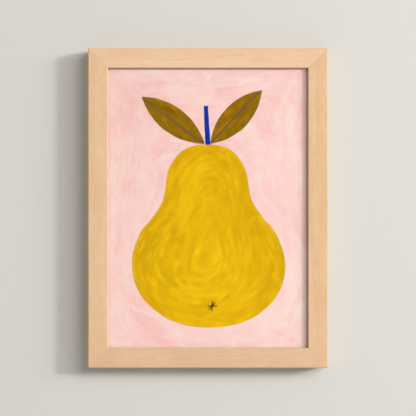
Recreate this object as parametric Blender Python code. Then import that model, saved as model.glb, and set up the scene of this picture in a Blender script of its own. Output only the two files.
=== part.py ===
"""A small framed picture, as it hangs on a wall: a mitred maple frame, its glazed print, and the hardware behind.

X runs to the viewer's right, Y from the viewer to the wall, and Z up. The wall is the plane Y = 0. The origin is
the roof of the middle notch of the sawtooth hanger, where the nail in the wall carries the picture.
Left and right are as the viewer sees them.
"""

import math

import bmesh
import bpy
from mathutils import Vector

# Driving sizes, in metres.
SIGHT_WIDTH = 0.200  # the part of the print that shows
SIGHT_HEIGHT = 0.280
GAP = 0.0003  # between pieces that touch

# Moulding
RAIL_FACE = 0.020  # outer edge to sight edge
LIP_DEPTH = 0.0025  # front of the frame to the glazing's seat
REBATE_WIDTH = 0.006  # how far the lip covers the glazing
FRONT_RADIUS = 0.0010
BACK_CHAMFER = 0.0005

# Layers in the rebate, front to back
LAYER_CLEARANCE = 0.0010  # round the edge of each layer
GLAZING_THICKNESS = 0.0015
PRINT_THICKNESS = 0.0004
BACKER_THICKNESS = 0.0100
BOARD_THICKNESS = 0.0040
BOARD_RECESS = 0.0004  # how far the back board lies below the back of the rails
ARRIS = 0.0003  # eased edge of the pane and the boards

# V-nails in the mitres
V_NAIL_LEG = 0.0040
V_NAIL_THICKNESS = 0.0006
V_NAIL_DEPTH = 0.0100
V_NAIL_MARGIN = 0.0020  # from the edges of the rail's back

# Turn buttons and their screws
BUTTONS_PER_STILE = 3
BUTTON_RADIUS = 0.0045
BUTTON_TIP_RADIUS = 0.0035
BUTTON_OVERLAP = 0.0120  # how far a button reaches over the back board
BUTTON_THICKNESS = 0.0008
BUTTON_EASE = 0.00015
SCREW_RADIUS = 0.0015
SCREW_LENGTH = 0.0100  # in the wood
SCREW_POINT = 0.0030
SCREW_HEAD_RADIUS = 0.0032
SCREW_HEAD_HEIGHT = 0.0016
DRIVE_WIDTH = 0.0008
DRIVE_SPAN = 0.0034
DRIVE_DEPTH = 0.0009

# Sawtooth hanger and its nails
HANGER_RAISED = 0.026  # length of the raised middle
HANGER_BEND = 0.003
HANGER_TAB = 0.009
HANGER_RISE = 0.0027
HANGER_THICKNESS = 0.0010
HANGER_HEIGHT = 0.010
HANGER_CORNER = 0.0025
NOTCH_PITCH = 0.0026
NOTCH_DEPTH = 0.0020
NAIL_RADIUS = 0.0007
NAIL_LENGTH = 0.0090  # in the wood
NAIL_POINT = 0.0015
NAIL_HEAD_RADIUS = 0.0020
NAIL_HEAD_HEIGHT = 0.0009

# Bumpers
BUMPER_RADIUS = 0.0050
BUMPER_EDGE = 0.0006
BUMPER_INSET = 0.0240  # from the frame's side

# Facets
ARC_STEPS = 4
ROUND_SIDES = 32
SHANK_SIDES = 12
BEND_STEPS = 6

# Worked out from the sizes above.
OUTER_WIDTH = SIGHT_WIDTH + 2 * RAIL_FACE
OUTER_HEIGHT = SIGHT_HEIGHT + 2 * RAIL_FACE
LAND_WIDTH = RAIL_FACE - REBATE_WIDTH  # the flat back of a rail
LAYER_WIDTH = SIGHT_WIDTH + 2 * (REBATE_WIDTH - LAYER_CLEARANCE)
LAYER_HEIGHT = SIGHT_HEIGHT + 2 * (REBATE_WIDTH - LAYER_CLEARANCE)
LAYERS = (
    ("glazing", GLAZING_THICKNESS, ARRIS),
    ("art_print", PRINT_THICKNESS, 0.0),
    ("print_backer", BACKER_THICKNESS, 0.0),
    ("back_board", BOARD_THICKNESS, ARRIS),
)
REBATE_DEPTH = sum(GAP + thickness for _, thickness, _ in LAYERS) + BOARD_RECESS
RAIL_DEPTH = LIP_DEPTH + REBATE_DEPTH
WALL_GAP = GAP + HANGER_THICKNESS + HANGER_RISE  # the raised middle of the hanger lies on the wall
RAIL_BACK = -WALL_GAP
RAIL_FRONT = RAIL_BACK - RAIL_DEPTH
NOTCH_DROP = LAND_WIDTH / 2 + HANGER_HEIGHT / 2 - NOTCH_DEPTH  # top of the frame to the roof of a notch
CENTRE = Vector((0.0, 0.0, NOTCH_DROP - OUTER_HEIGHT / 2))

# The four rails: name, turn about Y from the top, length, and distance from the centre to the outer edge.
RAILS = (
    ("rail_top", 0, OUTER_WIDTH, OUTER_HEIGHT / 2),
    ("stile_right", 90, OUTER_HEIGHT, OUTER_WIDTH / 2),
    ("rail_bottom", 180, OUTER_WIDTH, OUTER_HEIGHT / 2),
    ("stile_left", 270, OUTER_HEIGHT, OUTER_WIDTH / 2),
)
# The four corners: name, side in X, side in Z.
CORNERS = (("top_left", -1, 1), ("top_right", 1, 1), ("bottom_left", -1, -1), ("bottom_right", 1, -1))


def clear_scene():
    for obj in list(bpy.data.objects):
        bpy.data.objects.remove(obj)


def finish(name, colour, roughness, metallic=0.0, transmission=0.0):
    """A Principled material. The colour is linear RGB."""
    made = bpy.data.materials.new(name)
    made.use_nodes = True
    shader = made.node_tree.nodes["Principled BSDF"]
    shader.inputs["Base Color"].default_value = (*colour, 1.0)
    shader.inputs["Roughness"].default_value = roughness
    shader.inputs["Metallic"].default_value = metallic
    shader.inputs["Transmission Weight"].default_value = transmission
    return made


def add_object(name, mesh, material=None, location=(0, 0, 0), turn=0.0):
    """Adds an object at a place, turned about Y by an angle in degrees. Without a material it is a cutter."""
    obj = bpy.data.objects.new(name, mesh)
    bpy.context.scene.collection.objects.link(obj)
    obj.location = location
    obj.rotation_euler = (0.0, math.radians(turn), 0.0)
    if material:
        if not mesh.materials:
            mesh.materials.append(material)
    else:
        obj.hide_render = True
        obj.display_type = "WIRE"
    return obj


def mesh_from(name, bm):
    bmesh.ops.recalc_face_normals(bm, faces=bm.faces)
    mesh = bpy.data.meshes.new(name)
    bm.to_mesh(mesh)
    bm.free()
    return mesh


def prism(name, outline, front, back):
    """A mesh with an outline of (x, z) points, extruded along Y from front to back."""
    bm = bmesh.new()
    face = bm.faces.new([bm.verts.new((x, front, z)) for x, z in outline])
    grown = bmesh.ops.extrude_face_region(bm, geom=[face])
    moved = [item for item in grown["geom"] if isinstance(item, bmesh.types.BMVert)]
    bmesh.ops.translate(bm, verts=moved, vec=(0.0, back - front, 0.0))
    return mesh_from(name, bm)


def turned(name, profile, sides):
    """A mesh turned about Y from (radius, y) points, of which the first and the last lie on the axis."""
    bm = bmesh.new()
    verts = [bm.verts.new((radius, y, 0.0)) for radius, y in profile]
    edges = [bm.edges.new(pair) for pair in zip(verts, verts[1:])]
    bmesh.ops.spin(
        bm,
        geom=verts + edges,
        cent=(0.0, 0.0, 0.0),
        axis=(0.0, 1.0, 0.0),
        steps=sides,
        angle=2 * math.pi,
        use_merge=True,
    )
    bmesh.ops.remove_doubles(bm, verts=bm.verts, dist=1e-6)
    mesh = mesh_from(name, bm)
    mesh.shade_smooth()
    mesh.set_sharp_from_angle(angle=math.radians(35))
    return mesh


def arc(centre_x, centre_z, radius, start, end, steps):
    """Points on an arc, both ends included. The angles are in degrees, from +X towards +Z."""
    angles = [math.radians(start + (end - start) * i / steps) for i in range(steps + 1)]
    return [(centre_x + radius * math.cos(a), centre_z + radius * math.sin(a)) for a in angles]


def boolean(target, other, operation="DIFFERENCE"):
    modifier = target.modifiers.new(other.name, "BOOLEAN")
    modifier.operation = operation
    modifier.object = other


def ease(target, width):
    modifier = target.modifiers.new("ease", "BEVEL")
    modifier.width = width
    modifier.segments = 1
    modifier.limit_method = "ANGLE"
    modifier.angle_limit = math.radians(50)


def applied(obj):
    """The mesh of an object with its modifiers applied. The object itself is removed."""
    bpy.context.view_layer.update()
    graph = bpy.context.evaluated_depsgraph_get()
    mesh = bpy.data.meshes.new_from_object(obj.evaluated_get(graph), depsgraph=graph)
    bpy.data.objects.remove(obj)
    return mesh


def on_rail(name, along, across, y):
    """A world point on the named rail: along it from its middle, and in from its outer edge."""
    _, turn, _, reach = next(rail for rail in RAILS if rail[0] == name)
    angle = math.radians(turn)
    out = reach - across
    x = along * math.cos(angle) + out * math.sin(angle)
    z = out * math.cos(angle) - along * math.sin(angle)
    return CENTRE + Vector((x, y, z))


def moulding_profile():
    """The rail's section as (in from the outer edge, y) points: rounded in front, a rebate for the layers behind."""
    seat = RAIL_FRONT + LIP_DEPTH
    round_front = RAIL_FRONT + FRONT_RADIUS
    outer = arc(FRONT_RADIUS, round_front, FRONT_RADIUS, 180, 270, ARC_STEPS)
    sight = arc(RAIL_FACE - FRONT_RADIUS, round_front, FRONT_RADIUS, 270, 360, ARC_STEPS)
    behind = [
        (RAIL_FACE, seat),
        (LAND_WIDTH, seat),
        (LAND_WIDTH, RAIL_BACK),
        (BACK_CHAMFER, RAIL_BACK),
        (0.0, RAIL_BACK - BACK_CHAMFER),
    ]
    return outer + sight + behind


def rail_mesh(name, length, reach):
    """A length of moulding along X, mitred at both ends, with its outer edge at +Z."""
    mitre_back = GAP / math.sqrt(2)
    bm = bmesh.new()
    ends = []
    for side in (-1, 1):
        points = [
            (side * (length / 2 - across - mitre_back), y, reach - across)
            for across, y in moulding_profile()
        ]
        ends.append([bm.verts.new(point) for point in points])
    near, far = ends
    bm.faces.new(near)
    bm.faces.new(far)
    for i, vert in enumerate(near):
        bm.faces.new((near[i - 1], vert, far[i], far[i - 1]))
    mesh = mesh_from(name, bm)
    mesh.shade_smooth()
    mesh.set_sharp_from_angle(angle=math.radians(35))
    return mesh


def make_rails(wood):
    return {
        name: add_object(name, rail_mesh(name, length, reach), wood, CENTRE, turn)
        for name, turn, length, reach in RAILS
    }


def make_layers(materials):
    """The pane, the print, its backer and the back board, each resting on the one in front of it."""
    front = RAIL_FRONT + LIP_DEPTH
    half_width = LAYER_WIDTH / 2
    half_height = LAYER_HEIGHT / 2
    outline = [
        (-half_width, -half_height),
        (half_width, -half_height),
        (half_width, half_height),
        (-half_width, half_height),
    ]
    for name, thickness, arris in LAYERS:
        front += GAP
        layer = add_object(name, prism(name, outline, front, front + thickness), materials[name], CENTRE)
        if arris:
            ease(layer, arris)
        front += thickness


def v_outline(side_x, side_z, inset, half, leg):
    """A V across a mitre, seen from the front: its point faces the corner, and a leg lies along each rail."""
    steps = [(-half, -half), (leg, -half), (leg, half), (half, half), (half, leg), (-half, leg)]
    return [
        (side_x * (OUTER_WIDTH / 2 - inset - a), side_z * (OUTER_HEIGHT / 2 - inset - b)) for a, b in steps
    ]


def make_v_nails(rails, steel):
    """Two V-nails in each mitre, sunk just below the back of the rails, each in a pocket that both rails share."""
    half = V_NAIL_THICKNESS / 2
    insets = {"outer": V_NAIL_MARGIN, "inner": LAND_WIDTH - V_NAIL_MARGIN - V_NAIL_LEG}
    back = RAIL_BACK - GAP
    front = back - V_NAIL_DEPTH
    for corner, side_x, side_z in CORNERS:
        beside = ("rail_top" if side_z > 0 else "rail_bottom", "stile_right" if side_x > 0 else "stile_left")
        for place, inset in insets.items():
            name = f"v_nail_{corner}_{place}"
            outline = v_outline(side_x, side_z, inset, half, V_NAIL_LEG)
            add_object(name, prism(name, outline, front, back), steel, CENTRE)
            room = v_outline(side_x, side_z, inset, half + GAP, V_NAIL_LEG + GAP)
            pocket = add_object(f"{name}_pocket", prism("pocket", room, front - GAP, 0.0), None, CENTRE)
            for rail in beside:
                boolean(rails[rail], pocket)


def drill(target, place, radius, depth):
    """A round hole into the target from the plane of the wall, as deep as given below the back of the rails."""
    bottom = RAIL_BACK - depth
    profile = [(0.0, bottom), (radius, bottom), (radius, GAP), (0.0, GAP)]
    hole = add_object(f"{target.name}_hole", turned("hole", profile, SHANK_SIDES), None, place)
    boolean(target, hole)


def dome(radius, height, base):
    """A low dome as (radius, y) points, from its rim at base to its top on the axis."""
    return [
        (radius * math.cos(angle), base + height * math.sin(angle))
        for angle in (math.pi / 2 * i / ARC_STEPS for i in range(ARC_STEPS + 1))
    ]


def pointed_pin(shank, point, tip, head_base, head):
    """A pin's profile: a pointed shank from the tip up to the head, then the head's own points."""
    return [(0.0, tip), (shank, tip + point), (shank, head_base)] + head


def button_outline():
    """A tapered plate with round ends, its pivot at the origin and its tip towards +X."""
    reach = LAND_WIDTH / 2 + LAYER_CLEARANCE + BUTTON_OVERLAP - BUTTON_TIP_RADIUS
    open_angle = math.degrees(math.acos((BUTTON_RADIUS - BUTTON_TIP_RADIUS) / reach))
    steps = ROUND_SIDES // 2
    pivot_end = arc(0.0, 0.0, BUTTON_RADIUS, open_angle, 360 - open_angle, steps)
    tip_end = arc(reach, 0.0, BUTTON_TIP_RADIUS, -open_angle, open_angle, steps)
    return pivot_end + tip_end


def button_mesh():
    """The plate of a turn button, with its hole, lying on the back of a rail."""
    front = RAIL_BACK + GAP
    plate = add_object("plate", prism("plate", button_outline(), front, front + BUTTON_THICKNESS))
    profile = [(0.0, 0.0), (SCREW_RADIUS + GAP, 0.0), (SCREW_RADIUS + GAP, 2 * RAIL_BACK), (0.0, 2 * RAIL_BACK)]
    hole = add_object("plate_hole", turned("plate_hole", profile, ROUND_SIDES // 2))
    boolean(plate, hole)
    ease(plate, BUTTON_EASE)
    mesh = applied(plate)
    bpy.data.objects.remove(hole)
    return mesh


def screw_mesh():
    """A pan-head screw with a crosshead recess. Its head clears the turn button that it holds."""
    head_base = RAIL_BACK + 2 * GAP + BUTTON_THICKNESS
    top = head_base + SCREW_HEAD_HEIGHT
    head = dome(SCREW_HEAD_RADIUS, SCREW_HEAD_HEIGHT, head_base)
    profile = pointed_pin(SCREW_RADIUS, SCREW_POINT, RAIL_BACK - SCREW_LENGTH, head_base, head)
    screw = add_object("screw", turned("screw", profile, ROUND_SIDES))
    cutters = []
    for name, half_x, half_z in (
        ("slot_x", DRIVE_SPAN / 2, DRIVE_WIDTH / 2),
        ("slot_z", DRIVE_WIDTH / 2, DRIVE_SPAN / 2),
    ):
        outline = [(-half_x, -half_z), (half_x, -half_z), (half_x, half_z), (-half_x, half_z)]
        cutters.append(add_object(name, prism(name, outline, top - DRIVE_DEPTH, top + GAP)))
        boolean(screw, cutters[-1])
    mesh = applied(screw)
    for cutter in cutters:
        bpy.data.objects.remove(cutter)
    return mesh


def make_turn_buttons(rails, plate_steel, screw_steel):
    """Turn buttons at even steps along each stile, their tips over the back board, each with its screw."""
    plate = button_mesh()
    screw = screw_mesh()
    step = LAYER_HEIGHT / BUTTONS_PER_STILE
    for side, turn in (("left", 0), ("right", 180)):
        for i in range(BUTTONS_PER_STILE):
            height = LAYER_HEIGHT / 2 - (i + 0.5) * step
            along = height if side == "left" else -height
            place = on_rail(f"stile_{side}", along, LAND_WIDTH / 2, 0.0)
            number = i + 1
            add_object(f"turn_button_{side}_{number}", plate, plate_steel, place, turn)
            add_object(f"button_screw_{side}_{number}", screw, screw_steel, place)
            drill(rails[f"stile_{side}"], place, SCREW_RADIUS + GAP, SCREW_LENGTH + GAP)


def hanger_height_at(x):
    """How far the hanger's front face stands off its tabs at x: nothing at the tabs, and the whole rise between."""
    past = abs(x) - HANGER_RAISED / 2
    share = min(max(past / HANGER_BEND, 0.0), 1.0)
    return HANGER_RISE * (1 + math.cos(math.pi * share)) / 2


def hanger_strip():
    """The bent strip before it is cut to its outline, as a mesh extruded along Z past both its edges."""
    half = HANGER_RAISED / 2
    bend = [half + HANGER_BEND * i / BEND_STEPS for i in range(BEND_STEPS + 1)]
    side = bend + [bend[-1] + HANGER_TAB + GAP]
    stations = [-x for x in reversed(side)] + side
    base = RAIL_BACK + GAP
    front = [(x, base + hanger_height_at(x)) for x in stations]
    back = [(x, y + HANGER_THICKNESS) for x, y in reversed(front)]
    bm = bmesh.new()
    face = bm.faces.new([bm.verts.new((x, y, -HANGER_HEIGHT)) for x, y in front + back])
    grown = bmesh.ops.extrude_face_region(bm, geom=[face])
    moved = [item for item in grown["geom"] if isinstance(item, bmesh.types.BMVert)]
    bmesh.ops.translate(bm, verts=moved, vec=(0.0, 0.0, 2 * HANGER_HEIGHT))
    return mesh_from("strip", bm)


def hanger_outline():
    """The hanger seen from the front: round corners, and an odd number of notches under the raised middle."""
    half = HANGER_RAISED / 2 + HANGER_BEND + HANGER_TAB
    tip = -NOTCH_DEPTH
    top = HANGER_HEIGHT - NOTCH_DEPTH
    inner = half - HANGER_CORNER
    notches = 2 * int((HANGER_RAISED / NOTCH_PITCH - 1) // 2) + 1
    start = -notches * NOTCH_PITCH / 2
    teeth = []
    for i in range(notches):
        teeth += [(start + i * NOTCH_PITCH, tip), (start + (i + 0.5) * NOTCH_PITCH, 0.0)]
    teeth.append((-start, tip))
    right = arc(inner, tip + HANGER_CORNER, HANGER_CORNER, -90, 0, ARC_STEPS)
    right += arc(inner, top - HANGER_CORNER, HANGER_CORNER, 0, 90, ARC_STEPS)
    left = arc(-inner, top - HANGER_CORNER, HANGER_CORNER, 90, 180, ARC_STEPS)
    left += arc(-inner, tip + HANGER_CORNER, HANGER_CORNER, 180, 270, ARC_STEPS)
    return teeth + right + left


def make_hanger(rails, hanger_steel, nail_steel):
    """The sawtooth hanger on the middle of the top rail's back, with a round-head nail through each tab."""
    hanger = add_object("sawtooth_hanger", hanger_strip(), hanger_steel)
    cutout = add_object("hanger_outline", prism("cutout", hanger_outline(), 2 * RAIL_BACK, -RAIL_BACK))
    boolean(hanger, cutout, "INTERSECT")
    head_base = RAIL_BACK + 2 * GAP + HANGER_THICKNESS
    head = dome(NAIL_HEAD_RADIUS, NAIL_HEAD_HEIGHT, head_base)
    profile = pointed_pin(NAIL_RADIUS, NAIL_POINT, RAIL_BACK - NAIL_LENGTH, head_base, head)
    nail = turned("hanger_nail", profile, ROUND_SIDES // 2)
    middle = HANGER_HEIGHT / 2 - NOTCH_DEPTH
    for side, sign in (("left", -1), ("right", 1)):
        place = (sign * (HANGER_RAISED / 2 + HANGER_BEND + HANGER_TAB / 2), 0.0, middle)
        add_object(f"hanger_nail_{side}", nail, nail_steel, place)
        drill(hanger, place, NAIL_RADIUS + GAP, NAIL_LENGTH + GAP)
        drill(rails["rail_top"], place, NAIL_RADIUS + GAP, NAIL_LENGTH + GAP)


def make_bumpers(felt):
    """Two felt bumpers on the back of the bottom rail, which hold it as far from the wall as the hanger does."""
    front = RAIL_BACK + GAP
    edge = BUMPER_RADIUS - BUMPER_EDGE
    profile = [(0.0, front), (BUMPER_RADIUS, front), (BUMPER_RADIUS, -BUMPER_EDGE), (edge, 0.0), (0.0, 0.0)]
    mesh = turned("bumper", profile, ROUND_SIDES)
    for side, sign in (("left", -1), ("right", 1)):
        along = -sign * (OUTER_WIDTH / 2 - BUMPER_INSET)
        place = on_rail("rail_bottom", along, LAND_WIDTH / 2, 0.0)
        add_object(f"wall_bumper_{side}", mesh, felt, place)


def main():
    clear_scene()
    maple = finish("maple", (0.80, 0.52, 0.31), 0.45)
    zinc = finish("zinc_plate", (0.62, 0.63, 0.64), 0.32, metallic=1.0)
    bright = finish("bright_steel", (0.70, 0.70, 0.69), 0.25, metallic=1.0)
    brassed = finish("brassed_steel", (0.72, 0.56, 0.28), 0.30, metallic=1.0)
    layers = {
        "glazing": finish("picture_glass", (0.97, 0.99, 0.98), 0.02, transmission=1.0),
        "art_print": finish("art_paper", (0.93, 0.62, 0.56), 0.80),
        "print_backer": finish("foam_board", (0.85, 0.84, 0.82), 0.85),
        "back_board": finish("hardboard", (0.30, 0.19, 0.11), 0.75),
    }
    rails = make_rails(maple)
    make_layers(layers)
    make_v_nails(rails, bright)
    make_turn_buttons(rails, zinc, bright)
    make_hanger(rails, brassed, brassed)
    make_bumpers(finish("felt", (0.12, 0.11, 0.10), 0.95))


main()
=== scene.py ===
"""The looks of a framed picture: lacquered maple rails, a painted pear print behind glass, and its hardware.

Everything is in metres and in the frame's own axes: X to the viewer's right, Y into the wall, Z up. The
painting is worked out in millimetres from the middle of the print, and its colours are given as they look
on a screen.
"""

import math

import bpy
import numpy as np
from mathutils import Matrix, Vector


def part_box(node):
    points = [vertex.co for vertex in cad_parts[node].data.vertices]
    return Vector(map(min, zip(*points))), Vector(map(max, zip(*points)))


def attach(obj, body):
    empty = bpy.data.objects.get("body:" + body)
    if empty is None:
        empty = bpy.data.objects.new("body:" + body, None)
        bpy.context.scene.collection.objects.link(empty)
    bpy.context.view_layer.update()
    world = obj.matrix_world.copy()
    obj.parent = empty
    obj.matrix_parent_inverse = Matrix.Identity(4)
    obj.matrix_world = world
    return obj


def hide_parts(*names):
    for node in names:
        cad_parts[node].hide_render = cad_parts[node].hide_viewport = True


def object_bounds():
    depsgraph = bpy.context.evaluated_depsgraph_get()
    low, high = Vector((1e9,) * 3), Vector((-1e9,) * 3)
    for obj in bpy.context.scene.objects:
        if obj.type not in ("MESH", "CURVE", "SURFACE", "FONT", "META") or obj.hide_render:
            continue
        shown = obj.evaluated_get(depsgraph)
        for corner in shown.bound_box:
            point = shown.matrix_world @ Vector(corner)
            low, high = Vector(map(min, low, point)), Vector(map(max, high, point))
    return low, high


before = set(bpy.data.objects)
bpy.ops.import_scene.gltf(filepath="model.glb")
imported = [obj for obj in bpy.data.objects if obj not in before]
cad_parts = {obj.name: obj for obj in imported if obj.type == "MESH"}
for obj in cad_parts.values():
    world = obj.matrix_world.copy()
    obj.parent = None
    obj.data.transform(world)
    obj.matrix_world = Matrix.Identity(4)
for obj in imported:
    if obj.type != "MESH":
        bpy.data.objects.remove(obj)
cad_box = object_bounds()

MM = 0.001
SEED = 20
AMBIENT = 0.38  # the light from all round
BACKDROP = 0.62  # how bright the surroundings look
LIGHT_LEVEL = 1.25  # how bright a white surface looks in this light, 1 being a full white
PANE_IOR = 1.12  # below that of glass, as its coating takes the reflections down
PANE_LOSS = 0.92  # what the pane lets through on the way to the eye
LIGHT_COLOUR = (1.0, 0.995, 0.985)

LIP_COVER = 0.006  # how far the rails' lip covers the pane
PIECE_GAP = 0.0003  # between CAD pieces that touch
RAIL_ROUNDING = 0.001  # radius of the rails' front edges

# How close the brush's marks are: a stroke's own bristles, and the finer marks along strokes and across them
BRISTLE_GAP = 0.9
MARKS_PER_METRE = 95.0
MARKS_PER_MM = 1.25

GRID_STEP = 0.8  # of the sheet's points, in mm
SHEET_UV_SHARE = 0.97  # how much of the texture square the sheet's front takes up
BACK_UV_SCALE = 0.3  # the plain back is mapped this much smaller, beside the front
BACK_UV_MARGIN = 0.02

# The pear, as the points of half its outline, from the top down the right side
PEAR_HALF = (
    (0, 64),
    (24, 58),
    (38.5, 38),
    (44, 10),
    (55, -9),
    (69, -27),
    (77, -57),
    (68, -88),
    (40, -112),
    (0, -120),
)
OUTLINE_STEPS = 14  # points of the smooth outline for each of these
STEM = {"foot": (0.0, 63.5), "top": (-2.2, 102.5), "half_width": 2.3}
LEAVES = (
    {"base": (-3.5, 64.5), "tip": (-66.5, 111.5), "half_width": 13.0},
    {"base": (2.5, 64.5), "tip": (54.0, 118.0), "half_width": 13.0},
)
CALYX = {"centre": (4.2, -98.3), "arm": 5.0, "half_width": 0.58, "angles": (0.02, 0.85, 1.52)}

# Light, middle, dark and the pores
MAPLE_TONES = ((241, 203, 163), (233, 192, 152), (221, 176, 131), (196, 146, 100))
PINK = (253, 202, 197)
PINK_LIGHT = (255, 218, 212)
PINK_DEEP = (249, 187, 185)
PINK_CREAM = (251, 224, 213)
OCHRE = (230, 176, 0)
OCHRE_LIGHT = (249, 199, 10)
OCHRE_DARK = (214, 160, 0)
OCHRE_ORANGE = (234, 168, 0)
OCHRE_RIM = (205, 155, 4)
LEAF = (142, 103, 0)
LEAF_LIGHT = (182, 124, 0)
LEAF_DARK = (114, 84, 0)
VEIN = (112, 82, 58)
BLUE = (14, 60, 176)
BLUE_DEEP = (6, 40, 140)
INK = (26, 20, 12)


# ---------------------------------------------------------------- colour and geometry helpers


def linear(colour):
    """Linear RGB of a colour given as 0 to 255 screen values."""
    c = np.asarray(colour, float) / 255
    return np.where(c <= 0.04045, c / 12.92, ((c + 0.055) / 1.055) ** 2.4)


def reflectance(colour, loss=1.0):
    """The surface colour that looks like this screen colour in the scene's light."""
    return np.clip(linear(colour) / (LIGHT_LEVEL * loss), 0.0, 1.0)


def rgba(colour):
    return (*[float(c) for c in colour], 1.0)


def smooth_loop(points, steps):
    """A closed smooth curve through points, as an array, by Catmull-Rom segments."""
    points = np.asarray(points, float)
    t = np.linspace(0, 1, steps, endpoint=False)[:, None]
    out = []
    for i in range(len(points)):
        p0, p1, p2, p3 = (points[(i + k) % len(points)] for k in (-1, 0, 1, 2))
        square = 2 * p0 - 5 * p1 + 4 * p2 - p3
        cube = 3 * p1 - p0 - 3 * p2 + p3
        out.append(0.5 * (2 * p1 + (p2 - p0) * t + square * t**2 + cube * t**3))
    return np.concatenate(out)


def outline_distance(gx, gz, loop):
    """Signed distance from each grid point to a closed outline, negative inside."""
    best = np.full(gx.shape, np.inf)
    inside = np.zeros(gx.shape, bool)
    for (ax, az), (bx, bz) in zip(loop, np.roll(loop, -1, axis=0)):
        dx, dz = bx - ax, bz - az
        t = np.clip(((gx - ax) * dx + (gz - az) * dz) / (dx * dx + dz * dz), 0, 1)
        best = np.minimum(best, (gx - ax - t * dx) ** 2 + (gz - az - t * dz) ** 2)
        crosses = (az > gz) != (bz > gz)
        if crosses.any():
            inside ^= crosses & (gx < ax + (gz - az) * dx / (dz if dz else 1e-9))
    return np.where(inside, -1, 1) * np.sqrt(best)


# ---------------------------------------------------------------- the painting


class Canvas:
    """The grid of points that the painting is worked out on, in mm from the middle of the print."""

    def __init__(self, width, height):
        self.xs = np.linspace(-width / 2, width / 2, int(round(width / GRID_STEP)) + 1)
        self.zs = np.linspace(-height / 2, height / 2, int(round(height / GRID_STEP)) + 1)
        self.gx, self.gz = np.meshgrid(self.xs, self.zs)

    def blank(self, colour):
        return np.ones((*self.gx.shape, 3)) * np.asarray(colour, float)

    def along_levels(self, field):
        """Unit directions that run along a field's level lines."""
        dz, dx = np.gradient(field, self.zs, self.xs)
        size = np.maximum(np.hypot(dx, dz), 1e-6)
        return np.stack([-dz / size, dx / size], axis=-1)

    def at(self, grid, point):
        i = int(np.clip(np.searchsorted(self.xs, point[0]), 0, len(self.xs) - 1))
        j = int(np.clip(np.searchsorted(self.zs, point[1]), 0, len(self.zs) - 1))
        return grid[j, i]


def stroke_path(canvas, flow, start, length, lean, bend, step=2.5):
    """A path along the flow, both ways from its start. Lean turns it off the flow, and bend curves it."""
    arms = []
    for way in (1, -1):
        point = np.array(start, float)
        heading = None
        arm = [point.copy()]
        for k in range(int(length / 2 / step)):
            d = canvas.at(flow, point) * way
            if heading is not None and d @ heading < 0:
                d = -d
            heading = d
            turn = lean + bend * (k + 1) * step / length * way
            c, s = math.cos(turn), math.sin(turn)
            point = point + step * np.array([c * d[0] - s * d[1], s * d[0] + c * d[1]])
            arm.append(point.copy())
        arms.append(arm)
    return np.array(arms[1][:0:-1] + arms[0])


def lay_stroke(paint, canvas, path, half_width, colour, strength, rng):
    """One brush stroke: fairly solid in the middle, streaked along by its bristles, ragged at its ends."""
    lo, hi = path.min(0) - half_width, path.max(0) + half_width
    i0, i1 = np.searchsorted(canvas.xs, (lo[0], hi[0]))
    j0, j1 = np.searchsorted(canvas.zs, (lo[1], hi[1]))
    if i0 >= i1 or j0 >= j1 or len(path) < 3:
        return
    gx, gz = canvas.gx[j0:j1, i0:i1], canvas.gz[j0:j1, i0:i1]
    best = np.full(gx.shape, np.inf)
    along = np.zeros(gx.shape)
    across = np.zeros(gx.shape)
    for k, (a, b) in enumerate(zip(path, path[1:])):
        d = b - a
        size = d @ d
        t = np.clip(((gx - a[0]) * d[0] + (gz - a[1]) * d[1]) / size, 0, 1)
        ox, oz = gx - a[0] - t * d[0], gz - a[1] - t * d[1]
        far = ox**2 + oz**2
        near = far < best
        best = np.where(near, far, best)
        along = np.where(near, k + t, along)
        across = np.where(near, (d[0] * oz - d[1] * ox) / math.sqrt(size), across)
    along /= len(path) - 1
    knots = np.linspace(-half_width, half_width, max(4, int(2 * half_width / BRISTLE_GAP)))
    first, last, load = (np.interp(across, knots, rng.random(len(knots))) for _ in range(3))
    bristle = first * (1 - along) + last * along
    edge = np.clip((1 - np.sqrt(best) / half_width) / 0.2, 0, 1)
    ends = np.clip((0.5 - np.abs(along - 0.5)) / (0.03 + 0.25 * load), 0, 1)
    alpha = strength * edge * ends * (0.10 + 0.90 * bristle)
    shade = 1 + 0.05 * (load - 0.5)
    layer = paint[j0:j1, i0:i1]
    layer += alpha[..., None] * (np.asarray(colour, float) * shade[..., None] - layer)


def pick(rng, palette):
    """A colour from (colour, weight) pairs, moved a little towards another of them."""
    weights = np.array([w for _, w in palette], float)
    colours = np.array([c for c, _ in palette], float)
    first, second = rng.choice(len(palette), 2, p=weights / weights.sum())
    share = 0.35 * rng.random()
    return colours[first] * (1 - share) + colours[second] * share


def brush_over(paint, canvas, flow, where, count, widths, lengths, palette, strength, stray, rng):
    """Many strokes that start at random points where the mask is set, and stray a little from the flow."""
    rows, cols = np.nonzero(where)
    for n in rng.integers(0, len(rows), count):
        start = (canvas.xs[cols[n]] + rng.normal(0, 0.5), canvas.zs[rows[n]] + rng.normal(0, 0.5))
        length, lean, bend = rng.uniform(*lengths), rng.normal(0, stray), rng.normal(0, stray)
        path = stroke_path(canvas, flow, start, length, lean, bend)
        half_width, colour = rng.uniform(*widths) / 2, pick(rng, palette)
        lay_stroke(paint, canvas, path, half_width, colour, rng.uniform(*strength), rng)


def ground_levels(canvas, pear):
    """A field in mm. The ground's strokes follow its level lines, along the edges and round the pear."""
    side = np.minimum(canvas.xs[-1] - np.abs(canvas.gx), canvas.zs[-1] - np.abs(canvas.gz))
    wave = 9 * np.sin(canvas.gx / 31 + 1.3) * np.sin(canvas.gz / 37)
    return np.minimum(side, pear) + wave


def mound(canvas, x, z, half_width, half_height):
    """A field that is 0 at a point, 1 on an ellipse round it and more beyond."""
    return ((canvas.gx - x) / half_width) ** 2 + ((canvas.gz - z) / half_height) ** 2


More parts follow.
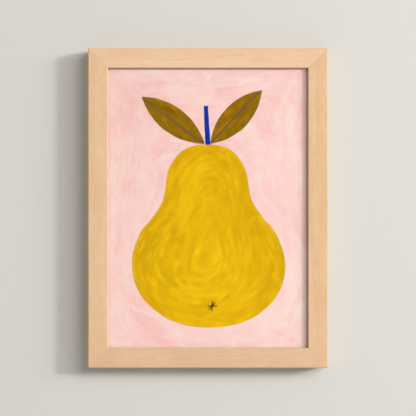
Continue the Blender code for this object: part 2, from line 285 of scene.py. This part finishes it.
def pear_levels(canvas, pear):
    """The same for the pear: round its belly, up its neck, and along its outline near the edge."""
    belly = mound(canvas, -6, -58, 72, 60)
    neck = mound(canvas, 3, -6, 42, 84)
    blend = -np.log(np.exp(-3 * belly) + np.exp(-3 * neck)) / 3
    return 62 * np.sqrt(blend + 0.24) + 0.6 * np.maximum(pear + 14, 0)


def paint_ground(canvas, pear, rng):
    """The pink ground: broad loose strokes, some of them dry and pale, with painted light towards the lower
    right and painted shade towards the upper left.
    """
    flow = canvas.along_levels(ground_levels(canvas, pear))
    paint = canvas.blank(PINK)
    outside = pear > -6
    body = ((PINK, 4), (PINK_LIGHT, 3), (PINK_DEEP, 2), (PINK_CREAM, 1))
    pale = ((PINK_LIGHT, 3), (PINK_CREAM, 2))
    brush_over(paint, canvas, flow, outside, 260, (12, 24), (30, 80), body, (0.5, 0.9), 0.30, rng)
    brush_over(paint, canvas, flow, outside, 520, (5, 12), (12, 40), body, (0.4, 0.8), 0.30, rng)
    brush_over(paint, canvas, flow, outside, 210, (3, 8), (8, 28), pale, (0.3, 0.8), 0.30, rng)
    # Painted light and shade: the ground is made lighter towards the lower right and darker towards the upper
    # left.
    to_right, to_top = canvas.gx / canvas.xs[-1], canvas.gz / canvas.zs[-1]
    painted_light_low_right = 1.008 + 0.010 * to_right - 0.014 * to_top
    return paint * painted_light_low_right[..., None]


def paint_pear(canvas, pear, rng):
    """The pear: ochre strokes, lighter up its middle, darker along its edge, some of them thin and bright,
    with painted shade towards its top.
    """
    flow = canvas.along_levels(pear_levels(canvas, pear))
    paint = canvas.blank(OCHRE)
    inside = pear < 3
    near_edge = (pear > -14) & inside
    middle = (pear < -16) & (np.abs(canvas.gx - 8) < 34)
    body = ((OCHRE, 5), (OCHRE_DARK, 3), (OCHRE_LIGHT, 2), (OCHRE_ORANGE, 1))
    bright = ((OCHRE_LIGHT, 3), (OCHRE, 1))
    dark = ((OCHRE_DARK, 3), (OCHRE_ORANGE, 1))
    brush_over(paint, canvas, flow, inside, 260, (8, 16), (20, 60), body, (0.5, 0.9), 0.22, rng)
    brush_over(paint, canvas, flow, middle, 70, (6, 12), (20, 60), bright, (0.4, 0.7), 0.25, rng)
    brush_over(paint, canvas, flow, near_edge, 120, (4, 8), (25, 60), dark, (0.3, 0.6), 0.08, rng)
    brush_over(paint, canvas, flow, inside, 800, (3, 7), (8, 26), body, (0.4, 0.8), 0.16, rng)
    brush_over(paint, canvas, flow, inside, 190, (1.8, 3.6), (6, 20), bright, (0.5, 1.0), 0.20, rng)
    half_width, half_height = 76, 120
    darker_sides = 0.035 * (canvas.gx / half_width) ** 2
    # Painted shade: the pear is made darker towards its top.
    painted_shade_top = 0.018 * canvas.gz / half_height
    return paint * (1.012 - darker_sides - painted_shade_top)[..., None]


def paint_leaves(canvas, rng):
    """Both leaves: dull ochre-green strokes from base to tip, with a few warmer ones."""
    paint = canvas.blank(LEAF)
    body = ((LEAF, 4), (LEAF_DARK, 3), (LEAF_LIGHT, 3))
    warm = ((LEAF_LIGHT, 1),)
    reach = 42
    for leaf in LEAVES:
        base, tip = np.array(leaf["base"]), np.array(leaf["tip"])
        axis = (tip - base) / np.linalg.norm(tip - base)
        flow = np.ones((*canvas.gx.shape, 2)) * axis
        middle = (base + tip) / 2
        near = np.hypot(canvas.gx - middle[0], canvas.gz - middle[1]) < reach
        brush_over(paint, canvas, flow, near, 170, (3, 7), (10, 30), body, (0.4, 0.9), 0.3, rng)
        brush_over(paint, canvas, flow, near, 40, (1.8, 3.2), (5, 14), warm, (0.5, 1.0), 0.3, rng)
    return paint


# ---------------------------------------------------------------- shader nodes


class Nodes:
    """One material's node tree. Any value may be a number, a tuple or another node's output."""

    def __init__(self, name):
        self.material = bpy.data.materials.new(name)
        self.material.use_nodes = True
        self.tree = self.material.node_tree
        self.tree.nodes.clear()
        self.place = self.add("TexCoord").outputs["Object"]

    def add(self, kind, values=None, **settings):
        node = self.tree.nodes.new("ShaderNode" + kind)
        for key, value in settings.items():
            setattr(node, key, value)
        for key, value in (values or {}).items():
            self.put(node.inputs[key], value)
        return node

    def put(self, socket, value):
        if isinstance(value, bpy.types.NodeSocket):
            self.tree.links.new(value, socket)
        else:
            socket.default_value = value

    def calc(self, operation, *values, clamp=False):
        node = self.add("Math", operation=operation, use_clamp=clamp)
        for socket, value in zip(node.inputs, values):
            self.put(socket, value)
        return node.outputs[0]

    def vector(self, operation, *values):
        node = self.add("VectorMath", operation=operation)
        for socket, value in zip(node.inputs, values):
            self.put(socket, value)
        return node.outputs["Value" if operation in ("DISTANCE", "DOT_PRODUCT", "LENGTH") else "Vector"]

    def stretched(self, scale, offset=(0.0, 0.0, 0.0)):
        """The object's own coordinates, scaled apart in each direction."""
        node = self.add("Mapping", {"Vector": self.place, "Scale": scale, "Location": offset})
        return node.outputs[0]

    def noise(self, at, scale=1.0, detail=2.0, roughness=0.5, distortion=0.0):
        values = {"Vector": at, "Scale": scale, "Detail": detail}
        values |= {"Roughness": roughness, "Distortion": distortion}
        return self.add("TexNoise", values).outputs["Fac"]

    def ramp(self, value, low, high, out_low=0.0, out_high=1.0):
        """Value taken from one range to another, held at its ends."""
        values = {"Value": value, "From Min": low, "From Max": high, "To Min": out_low, "To Max": out_high}
        return self.add("MapRange", values).outputs[0]

    def mix(self, share, first, second, blend="MIX"):
        node = self.add("Mix", data_type="RGBA", blend_type=blend)
        for index, value in ((0, share), (6, first), (7, second)):
            self.put(node.inputs[index], value)
        return node.outputs[2]

    def shaded(self, colour, shade):
        """A colour made lighter or darker by a number."""
        grey = self.add("CombineXYZ", {"X": shade, "Y": shade, "Z": shade}).outputs[0]
        return self.vector("MULTIPLY", colour, grey)

    def in_mm(self, metres):
        return self.calc("DIVIDE", metres, MM)

    def along(self, offset, axis):
        """How far an offset goes along an axis in the sheet's plane, in mm."""
        return self.in_mm(self.vector("DOT_PRODUCT", offset, (axis[0], 0.0, axis[1])))

    def stored(self, name, output="Color"):
        return self.add("Attribute", attribute_name=name).outputs[output]

    def bump(self, height, distance, strength=1.0):
        return self.add("Bump", {"Height": height, "Distance": distance, "Strength": strength}).outputs[0]

    def done(self, shader):
        self.tree.links.new(shader, self.add("OutputMaterial").inputs["Surface"])
        return self.material

    def principled(self, **values):
        """Finishes the material with a Principled shader. Names take _ for a space."""
        named = {key.replace("_", " "): value for key, value in values.items()}
        return self.done(self.add("BsdfPrincipled", named).outputs[0])


def maple(name, along, offset, tone):
    """Matt-lacquered maple, its grain along X or Z: soft bands, short fibres and fine pores."""
    n = Nodes(name)

    def grain(per_metre, stretch):
        across = per_metre
        lengthwise = per_metre / stretch
        scale = (lengthwise, across, across) if along == "X" else (across, across, lengthwise)
        return n.stretched(scale, offset)

    bands = n.noise(grain(110, 14), detail=2.0, roughness=0.55, distortion=0.6)
    fibres = n.noise(grain(900, 11), detail=3.0, roughness=0.65, distortion=0.3)
    pores = n.noise(grain(2100, 16), detail=2.0, roughness=0.6)
    cloud = n.noise(n.place, scale=26, detail=2.0)
    light, middle, dark, pore = (rgba(reflectance(np.array(c) * tone)) for c in MAPLE_TONES)
    colour = n.mix(n.ramp(bands, 0.30, 0.70), middle, light)
    colour = n.mix(n.ramp(fibres, 0.48, 0.75, 0.0, 0.70), colour, dark)
    colour = n.mix(n.ramp(fibres, 0.25, 0.45, 0.50, 0.0), colour, light)
    colour = n.mix(n.ramp(pores, 0.58, 0.78, 0.0, 0.45), colour, pore)
    colour = n.mix(n.ramp(cloud, 0.35, 0.70, 0.0, 0.30), colour, dark)
    height = n.calc("ADD", n.calc("MULTIPLY", fibres, 0.5), n.calc("MULTIPLY", pores, 0.5))
    return n.principled(
        Base_Color=colour,
        Roughness=n.ramp(fibres, 0.2, 0.8, 0.50, 0.64),
        Specular_IOR_Level=0.3,
        Normal=n.bump(height, 0.00010, 0.35),
    )


def painted_print(front_y):
    """The printed painting. The shapes' edges are exact, so that they stay crisp at any size."""
    n = Nodes("painted_print")

    def printed(screen_colour):
        return rgba(reflectance(screen_colour, PANE_LOSS))

    def wobble(scale, amount):
        centred = n.calc("SUBTRACT", n.noise(n.place, scale=scale, detail=2.0), 0.5)
        return n.calc("MULTIPLY", centred, amount)

    def on_sheet(point):
        x, z = point
        return (centre.x + x * MM, front_y, centre.z + z * MM)

    def inside(distance, soft=0.14):
        """1 where a distance in mm is below 0, 0 where it is above, with a narrow soft edge."""
        return n.ramp(distance, -soft, soft, 1.0, 0.0)

    hand = n.calc("ADD", wobble(90, 1.1), wobble(700, 0.5))
    grain = n.noise(n.place, scale=2600, detail=2.0)

    def bristled(paint, levels, low, high):
        """Paint with fine brush marks, which run along the level lines that its strokes follow."""
        across = n.stored(levels, "Fac")
        slow = n.vector("SCALE", n.place)
        n.put(slow.node.inputs["Scale"], MARKS_PER_METRE)
        moved = n.add("CombineXYZ", {"X": n.calc("MULTIPLY", across, MARKS_PER_MM)}).outputs[0]
        marks = n.noise(n.vector("ADD", slow, moved), detail=3.0, roughness=0.62)
        return n.shaded(paint, n.ramp(marks, 0.28, 0.72, low, high))

    # ground
    colour = bristled(n.stored("ground_paint"), "ground_levels", 0.955, 1.035)

    # leaves and their midribs
    leaf_paint = n.stored("leaf_paint")
    for leaf in LEAVES:
        base, tip = Vector(leaf["base"]), Vector(leaf["tip"])
        axis = (tip - base).normalized()
        side = Vector((-axis.y, axis.x))
        chord, half = (tip - base).length, leaf["half_width"]
        radius = (chord**2 / 4 + half**2) / (2 * half)
        middle = (base + tip) / 2
        edges = []
        for way in (1, -1):
            hub = middle + side * way * (radius - half)
            reach = n.in_mm(n.vector("DISTANCE", n.place, on_sheet(hub)))
            edges.append(n.calc("SUBTRACT", reach, radius))
        edge = n.calc("ADD", n.calc("MAXIMUM", *edges), hand)
        rim = n.ramp(edge, -1.2, 0.0, 0.0, 0.35)
        shown = n.mix(rim, leaf_paint, printed(LEAF_DARK))
        colour = n.mix(inside(edge), colour, shown)
        offset = n.vector("SUBTRACT", n.place, on_sheet(base))
        across = n.along(offset, side)
        length = n.along(offset, axis)
        bow = n.calc("MULTIPLY", n.calc("SINE", n.calc("MULTIPLY", length, math.pi / chord)), 0.7)
        off_line = n.calc("ABSOLUTE", n.calc("SUBTRACT", across, bow))
        width = n.ramp(length, 0.0, chord, 1.15, 0.70)
        line = n.calc("SUBTRACT", n.calc("ADD", off_line, n.calc("MULTIPLY", hand, 0.6)), width)
        before_tip = n.ramp(length, chord - 3.5, chord - 1.5, 1.0, 0.0)
        on_leaf = n.calc("MULTIPLY", before_tip, n.ramp(length, 0.5, 2.0))
        vein = n.calc("MULTIPLY", inside(line, 0.25), on_leaf)
        colour = n.mix(n.calc("MULTIPLY", vein, 0.85), colour, printed(VEIN))

    # the pear
    pear_edge = n.calc("ADD", n.stored("pear_edge", "Fac"), hand)
    rim = n.ramp(pear_edge, -1.3, 0.0, 0.0, 0.30)
    pear_paint = bristled(n.stored("pear_paint"), "pear_levels", 0.89, 1.10)
    shown = n.mix(rim, pear_paint, printed(OCHRE_RIM))
    colour = n.mix(inside(pear_edge), colour, shown)

    # the stem
    foot, top = Vector(STEM["foot"]), Vector(STEM["top"])
    axis = (top - foot).normalized()
    side = Vector((-axis.y, axis.x))
    half_length = (top - foot).length / 2
    offset = n.vector("SUBTRACT", n.place, on_sheet(foot))
    across = n.along(offset, side)
    length = n.along(offset, axis)
    at_foot, at_top = STEM["half_width"] + 0.25, STEM["half_width"] - 0.15
    width = n.ramp(length, 0.0, 2 * half_length, at_foot, at_top)
    past_side = n.calc("SUBTRACT", n.calc("ABSOLUTE", across), width)
    from_middle = n.calc("ABSOLUTE", n.calc("SUBTRACT", length, half_length))
    past_end = n.calc("SUBTRACT", from_middle, half_length)
    edge = n.calc("ADD", n.calc("MAXIMUM", past_side, past_end), hand)
    strokes = n.noise(n.stretched((900, 1, 60)), detail=2.0)
    blue = n.mix(n.ramp(strokes, 0.3, 0.7), printed(BLUE_DEEP), printed(BLUE))
    colour = n.mix(inside(edge), colour, blue)

    # the calyx mark
    offset = n.vector("SUBTRACT", n.place, on_sheet(CALYX["centre"]))
    past_end = n.calc("SUBTRACT", n.in_mm(n.vector("LENGTH", offset)), CALYX["arm"])
    lines = None
    for angle in CALYX["angles"]:
        across = n.calc("ABSOLUTE", n.along(offset, (-math.sin(angle), math.cos(angle))))
        line = n.calc("MAXIMUM", n.calc("SUBTRACT", across, CALYX["half_width"]), past_end)
        lines = line if lines is None else n.calc("MINIMUM", lines, line)
    edge = n.calc("ADD", lines, n.calc("MULTIPLY", hand, 0.15))
    colour = n.mix(inside(edge, 0.16), colour, printed(INK))

    # paper grain
    colour = n.shaded(colour, n.ramp(grain, 0.3, 0.7, 0.975, 1.015))
    return n.principled(
        Base_Color=colour,
        Roughness=n.ramp(grain, 0.3, 0.7, 0.82, 0.92),
        Specular_IOR_Level=0.06,
        Normal=n.bump(grain, 0.00003, 0.4),
    )


def plain_paper():
    n = Nodes("paper_back")
    fibres = n.noise(n.place, scale=900, detail=4.0)
    colour = n.mix(n.ramp(fibres, 0.3, 0.7), rgba((0.74, 0.72, 0.68)), rgba((0.82, 0.80, 0.77)))
    return n.principled(Base_Color=colour, Roughness=0.85)


def picture_glass():
    """Clear glass, coated against reflections. Light for what is behind it passes straight through."""
    n = Nodes("picture_glass")
    values = {
        "Base Color": rgba((0.985, 1.0, 0.992)),
        "Roughness": 0.0,
        "IOR": PANE_IOR,
        "Transmission Weight": 1.0,
    }
    glass = n.add("BsdfPrincipled", values).outputs[0]
    clear = n.add("BsdfTransparent", {"Color": rgba((0.96, 0.97, 0.965))}).outputs[0]
    rays = n.add("LightPath").outputs
    passing = n.calc("MAXIMUM", rays["Is Shadow Ray"], rays["Is Diffuse Ray"])
    return n.done(n.add("MixShader", {0: passing, 1: glass, 2: clear}).outputs[0])


def hardboard():
    """The smooth face of brown hardboard: short pressed fibres and darker specks."""
    n = Nodes("hardboard")
    fibres = n.noise(n.stretched((1900, 1900, 900)), detail=4.0, roughness=0.6, distortion=0.5)
    blotch = n.noise(n.place, scale=34, detail=4.0)
    specks = n.noise(n.stretched((1700, 1700, 850)), detail=1.0)
    colour = n.mix(n.ramp(fibres, 0.32, 0.68), rgba((0.15, 0.082, 0.045)), rgba((0.275, 0.162, 0.090)))
    colour = n.mix(n.ramp(blotch, 0.35, 0.70, 0.0, 0.35), colour, rgba((0.25, 0.15, 0.085)))
    colour = n.mix(n.ramp(specks, 0.64, 0.74, 0.0, 0.45), colour, rgba((0.07, 0.038, 0.022)))
    colour = n.mix(n.ramp(specks, 0.24, 0.34, 0.35, 0.0), colour, rgba((0.42, 0.28, 0.17)))
    return n.principled(
        Base_Color=colour,
        Roughness=n.ramp(fibres, 0.2, 0.8, 0.50, 0.66),
        Normal=n.bump(fibres, 0.00004, 0.4),
    )


def foam_board():
    n = Nodes("foam_board")
    fibres = n.noise(n.place, scale=1200, detail=3.0)
    colour = n.mix(n.ramp(fibres, 0.3, 0.7), rgba((0.66, 0.65, 0.62)), rgba((0.78, 0.77, 0.74)))
    return n.principled(Base_Color=colour, Roughness=0.8, Normal=n.bump(fibres, 0.00005, 0.3))


def plated(name, light, dark, roughness):
    """Plated sheet steel: a mottled plating with fine handling scratches."""
    n = Nodes(name)
    mottle = n.noise(n.place, scale=300, detail=3.0, roughness=0.6)
    scratches = n.noise(n.stretched((260, 900, 6400)), detail=2.0, distortion=0.2)
    colour = n.mix(n.ramp(mottle, 0.3, 0.7), rgba(dark), rgba(light))
    mottled = n.ramp(mottle, 0.3, 0.7, roughness - 0.05, roughness + 0.08)
    scratched = n.ramp(scratches, 0.6, 0.75, 0.0, 0.12)
    return n.principled(
        Base_Color=colour,
        Metallic=1.0,
        Roughness=n.calc("ADD", mottled, scratched),
        Normal=n.bump(scratches, 0.00001, 0.2),
    )


def felt():
    """Dense dark felt: matted fibres and a soft sheen."""
    n = Nodes("felt")
    fibres = n.noise(n.place, scale=1500, detail=5.0, roughness=0.75, distortion=2.2)
    colour = n.mix(n.ramp(fibres, 0.35, 0.65), rgba((0.020, 0.018, 0.017)), rgba((0.120, 0.112, 0.104)))
    return n.principled(
        Base_Color=colour,
        Roughness=0.95,
        Sheen_Weight=0.35,
        Sheen_Roughness=0.5,
        Normal=n.bump(fibres, 0.00025, 0.8),
    )


# ---------------------------------------------------------------- pieces


def link(name, mesh):
    made = bpy.data.objects.new(name, mesh)
    bpy.context.scene.collection.objects.link(made)
    return made


def art_sheet():
    """The printed sheet: a fine grid in front that carries the paint, closed by a plain back and edges."""
    lo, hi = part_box("art_print")
    width, height = (hi.x - lo.x) / MM, (hi.z - lo.z) / MM
    canvas = Canvas(width, height)
    rows, cols = canvas.gx.shape
    rng = np.random.default_rng(SEED)
    other_half = [(-x, z) for x, z in PEAR_HALF[-2:0:-1]]
    loop = smooth_loop([*PEAR_HALF, *other_half], OUTLINE_STEPS)
    sway = np.sin((canvas.gz + 30) / 60) * 1.2
    pear = outline_distance(canvas.gx + sway, canvas.gz, loop)

    def reflected(paint):
        return reflectance(np.clip(paint, 0, 255), PANE_LOSS)

    layers = {
        "ground_paint": reflected(paint_ground(canvas, pear, rng)),
        "pear_paint": reflected(paint_pear(canvas, pear, rng)),
        "leaf_paint": reflected(paint_leaves(canvas, rng)),
    }
    points = np.zeros((rows * cols + 4, 3))
    points[:-4, 0] = centre.x + canvas.gx.ravel() * MM
    points[:-4, 1] = lo.y
    points[:-4, 2] = centre.z + canvas.gz.ravel() * MM
    points[-4:] = [(lo.x, hi.y, lo.z), (hi.x, hi.y, lo.z), (hi.x, hi.y, hi.z), (lo.x, hi.y, hi.z)]
    index = np.arange(rows * cols).reshape(rows, cols)
    corners = (index[:-1, :-1], index[:-1, 1:], index[1:, 1:], index[1:, :-1])
    front = np.stack(corners, axis=-1).reshape(-1, 4)
    a, b, c, d = (rows * cols + k for k in range(4))
    edges = [
        [*index[0, ::-1].tolist(), a, b],
        [*index[::-1, -1].tolist(), b, c],
        [*index[-1, :].tolist(), c, d],
        [*index[:, 0].tolist(), d, a],
    ]
    mesh = bpy.data.meshes.new("art_print_sheet")
    mesh.from_pydata(points.tolist(), [], front.tolist() + edges + [[a, d, c, b]])
    for name, paint in layers.items():
        values = np.ones((len(points), 4), np.float32)
        values[:-4, :3] = paint.reshape(-1, 3)
        mesh.attributes.new(name, "FLOAT_COLOR", "POINT").data.foreach_set("color", values.ravel())
    fields = {
        "pear_edge": pear,
        "pear_levels": pear_levels(canvas, pear),
        "ground_levels": ground_levels(canvas, pear),
    }
    for name, field in fields.items():
        values = np.zeros(len(points), np.float32)
        values[:-4] = field.ravel()
        mesh.attributes.new(name, "FLOAT", "POINT").data.foreach_set("value", values)
    mesh.materials.append(painted_print(lo.y))
    mesh.materials.append(plain_paper())
    slots = np.zeros(len(mesh.polygons), np.int32)
    slots[len(front):] = 1
    mesh.polygons.foreach_set("material_index", slots)
    uv = mesh.uv_layers.new(name="OFBake")
    corner = np.empty(len(mesh.loops), np.int32)
    mesh.loops.foreach_get("vertex_index", corner)
    flat = (points[:, (0, 2)] - (lo.x, lo.z)) / (hi.z - lo.z) * SHEET_UV_SHARE
    coords = flat[corner]
    behind = 4 * len(front)
    beside = (hi.x - lo.x) / (hi.z - lo.z) * SHEET_UV_SHARE + BACK_UV_MARGIN
    coords[behind:] = coords[behind:] * BACK_UV_SCALE + (beside, 0.0)
    uv.data.foreach_set("uv", coords.astype(np.float32).ravel())
    mesh.validate()
    mesh.update()
    return link("art_print_sheet", mesh)


def mitre_fill():
    """The glue in the front half of each mitre: a strip in the rails' section, a hair below their surface."""
    lo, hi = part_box("rail_top")
    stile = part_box("stile_left")
    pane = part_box("glazing")[0]
    face = hi.z - lo.z
    half_x, half_z = (hi.x - lo.x) / 2, (stile[1].z - stile[0].z) / 2
    skin, half_gap, reach = 0.00002, 0.000147, 0.009
    front, seat, behind = lo.y + skin, pane.y - PIECE_GAP - skin, lo.y + reach
    sight, rebate = face - skin, face - LIP_COVER - skin

    # The section, as distances from the rail's outer edge and places in Y, from the outer edge round
    turns = [math.radians(a) for a in (0, 22.5, 45, 67.5, 90)]
    rounding = [(RAIL_ROUNDING * (1 - math.cos(a)), RAIL_ROUNDING * (1 - math.sin(a))) for a in turns]
    section = [(skin + across, front + back) for across, back in rounding]
    section += [(sight - across, front + back) for across, back in rounding[::-1]]
    section += [(sight, seat), (rebate, seat), (rebate, behind), (skin, behind)]
    verts, faces = [], []
    for side_x in (-1, 1):
        for side_z in (-1, 1):
            start, count = len(verts), len(section)
            for shift in (-half_gap, half_gap):
                for across, y in section:
                    x = side_x * (half_x - across + shift / math.sqrt(2))
                    z = side_z * (half_z - across - shift / math.sqrt(2))
                    verts.append((centre.x + x, y, centre.z + z))
            near = list(range(start, start + count))
            far = [v + count for v in near]
            strip = [near[::-1], far]
            strip += [[near[k - 1], near[k], far[k], far[k - 1]] for k in range(count)]
            faces += [f[::-1] for f in strip] if side_x * side_z < 0 else strip
    mesh = bpy.data.meshes.new("mitre_fill")
    mesh.from_pydata(verts, [], faces)
    made = link("mitre_fill", mesh)
    made.data.materials.append(maple("maple_fill", "X", (2.2, 6.1, 3.3), (0.97, 0.96, 0.94)))
    return made


def bumper(node, seed):
    """A felt bumper: a domed disc with matted, slightly uneven sides."""
    lo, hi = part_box(node)
    middle = (lo + hi) / 2
    radius, thick = (hi.x - lo.x) / 2, hi.y - lo.y
    rng = np.random.default_rng(seed)
    sides, dome = 64, 0.0012
    profile = [(0.0, 0.0), (radius * 0.6, 0.0), (radius * 0.985, 0.0)]
    profile += [(radius, thick * share) for share in (0.08, 0.3, 0.5, 0.66)]
    turns = [math.radians(a) for a in (15, 30, 45, 60, 75, 90)]
    profile += [(radius - dome * (1 - math.cos(a)), thick - dome * (1 - math.sin(a))) for a in turns]
    profile += [(radius * share, thick) for share in (0.6, 0.35, 0.0)]
    verts, faces = [], []
    rings = []
    for r, y in profile:
        if r == 0:
            rings.append([len(verts)])
            verts.append((middle.x, lo.y + y, middle.z))
            continue
        rings.append(list(range(len(verts), len(verts) + sides)))
        for k in range(sides):
            a = 2 * math.pi * k / sides
            rough = 1 - 0.012 * rng.random() * (y > 0)
            verts.append((middle.x + r * rough * math.cos(a), lo.y + y, middle.z + r * rough * math.sin(a)))
    for first, second in zip(rings, rings[1:]):
        for k in range(sides):
            a, b = first[k % len(first)], first[(k + 1) % len(first)]
            c, d = second[(k + 1) % len(second)], second[k % len(second)]
            faces.append([v for i, v in enumerate((a, d, c, b)) if v not in (a, d, c, b)[:i]])
    mesh = bpy.data.meshes.new(node + "_felt")
    mesh.from_pydata(verts, [], faces)
    mesh.shade_smooth()
    made = link(node + "_felt", mesh)
    made.data.materials.append(felt_material)
    return made


def dress(node, material):
    """Gives a CAD node its material."""
    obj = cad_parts[node]
    obj.data.materials.clear()
    obj.data.materials.append(material)


# ---------------------------------------------------------------- stage


def plane(name, corners, material):
    mesh = bpy.data.meshes.new(name)
    mesh.from_pydata(corners, [], [(0, 1, 2, 3)])
    made = link(name, mesh)
    made.data.materials.append(material)
    return made


def wall_paint():
    """Matt off-white wall paint. Only its front shows, so that the back of the picture can be looked at."""
    n = Nodes("wall_paint")
    roller = n.noise(n.place, scale=700, detail=3.0)
    tones = (rgba(reflectance(tone)) for tone in ((217, 215, 209), (221, 219, 213)))
    colour = n.mix(n.ramp(roller, 0.3, 0.7), *tones)
    values = {"Base Color": colour, "Roughness": 0.9, "Normal": n.bump(roller, 0.00008, 0.25)}
    paint = n.add("BsdfPrincipled", values).outputs[0]
    clear = n.add("BsdfTransparent").outputs[0]
    behind = n.add("NewGeometry").outputs["Backfacing"]
    return n.done(n.add("MixShader", {0: behind, 1: paint, 2: clear}).outputs[0])


def floor_paint(floor_z):
    """A pale floor that fades into the backdrop some way off."""
    n = Nodes("pale_floor")
    mottle = n.noise(n.place, scale=3, detail=3.0)
    colour = n.mix(n.ramp(mottle, 0.3, 0.7), rgba((0.46, 0.455, 0.445)), rgba((0.49, 0.485, 0.475)))
    paint = n.add("BsdfPrincipled", {"Base Color": colour, "Roughness": 0.85}).outputs[0]
    clear = n.add("BsdfTransparent").outputs[0]
    reach = n.vector("DISTANCE", n.place, (0.0, 0.0, floor_z))
    fade = n.ramp(reach, 2.0, 5.0)
    return n.done(n.add("MixShader", {0: fade, 1: paint, 2: clear}).outputs[0])


def soft_box(name, way, away, size, power):
    """A rectangular lamp that faces the picture, this far from it in this direction."""
    data = bpy.data.lights.new(name, "AREA")
    data.shape = "RECTANGLE"
    data.size, data.size_y = size
    data.energy = power
    data.color = LIGHT_COLOUR
    lamp = link(name, data)
    lamp.visible_camera = False
    way = Vector(way).normalized()
    lamp.location = centre + away * way
    lamp.rotation_euler = (-way).to_track_quat("-Z", "Y").to_euler()


def set_stage():
    reach, drop = 3.0, 1.5
    floor_z = centre.z - drop
    wall = plane(
        "wall",
        [(-reach, 0.0, floor_z), (reach, 0.0, floor_z), (reach, 0.0, reach), (-reach, 0.0, reach)],
        wall_paint(),
    )
    for ray in ("diffuse", "glossy", "transmission", "volume_scatter", "shadow"):
        setattr(wall, "visible_" + ray, False)
    wide = 14.0
    plane(
        "floor",
        [(-wide, -wide, floor_z), (wide, -wide, floor_z), (wide, wide, floor_z), (-wide, wide, floor_z)],
        floor_paint(floor_z),
    )
    soft_box("key", (0.62, -1.0, 0.42), 4.5, (2.6, 1.8), 107.0)
    soft_box("edge", (1.42, -1.0, 0.36), 4.5, (0.45, 0.5), 92.0)
    soft_box("side", (2.0, -1.0, 0.50), 5.4, (1.8, 1.5), 110.0)
    soft_box("behind", (-0.8, 1.0, 0.12), 2.6, (1.6, 1.2), 36.0)
    world = bpy.data.worlds.new("studio")
    world.use_nodes = True
    tree = world.node_tree
    dim = tree.nodes["Background"]
    pale = tree.nodes.new("ShaderNodeBackground")
    for background, strength in ((dim, AMBIENT), (pale, BACKDROP)):
        background.inputs["Color"].default_value = rgba(LIGHT_COLOUR)
        background.inputs["Strength"].default_value = strength
    seen = tree.nodes.new("ShaderNodeLightPath").outputs["Is Camera Ray"]
    mixed = tree.nodes.new("ShaderNodeMixShader")
    for socket, value in zip(mixed.inputs, (seen, dim.outputs[0], pale.outputs[0])):
        tree.links.new(value, socket)
    tree.links.new(mixed.outputs[0], tree.nodes["World Output"].inputs["Surface"])
    bpy.context.scene.world = world
    bpy.context.scene.view_settings.view_transform = "Standard"


def set_camera():
    """Straight on, far off with a long lens, so that the frame's sides stay hidden."""
    shown_width = 0.416  # what the view takes in at the frame's front
    data = bpy.data.cameras.new("camera")
    data.sensor_width = 36.0
    data.lens = 120.0
    camera = link("camera", data)
    away = shown_width * data.lens / data.sensor_width
    camera.location = (centre.x, cad_box[0].y - away, centre.z)
    camera.rotation_euler = (math.pi / 2, 0.0, 0.0)
    bpy.context.scene.camera = camera


# ---------------------------------------------------------------- the picture

frame_lo, frame_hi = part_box("stile_left")[0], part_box("stile_right")[1]
centre = (frame_lo + frame_hi) / 2

set_camera()
set_stage()

dress("rail_top", maple("maple_top", "X", (0.3, 1.1, 2.0), (1.02, 1.03, 1.05)))
dress("rail_bottom", maple("maple_bottom", "X", (7.9, 4.2, 5.7), (0.98, 0.98, 0.99)))
dress("stile_left", maple("maple_left", "Z", (3.1, 8.6, 1.4), (1.0, 1.0, 1.0)))
dress("stile_right", maple("maple_right", "Z", (5.2, 2.7, 9.3), (0.985, 0.98, 0.965)))
dress("glazing", picture_glass())
dress("print_backer", foam_board())
dress("back_board", hardboard())

zinc = plated("zinc_plate", (0.72, 0.73, 0.75), (0.52, 0.53, 0.55), 0.34)
bright = plated("bright_steel", (0.78, 0.78, 0.77), (0.62, 0.62, 0.61), 0.24)
brassed = plated("brassed_steel", (0.83, 0.65, 0.33), (0.66, 0.48, 0.21), 0.28)
felt_material = felt()
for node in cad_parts:
    if node.startswith("turn_button"):
        dress(node, zinc)
    elif node.startswith(("button_screw", "v_nail")):
        dress(node, bright)
    elif node.startswith(("hanger_nail", "sawtooth_hanger")):
        dress(node, brassed)

sheet = art_sheet()
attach(sheet, "frame")
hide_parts("art_print")

fill = mitre_fill()
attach(fill, "frame")

for seed, node in enumerate(("wall_bumper_left", "wall_bumper_right")):
    pad = bumper(node, seed)
    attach(pad, "frame")
    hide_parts(node)
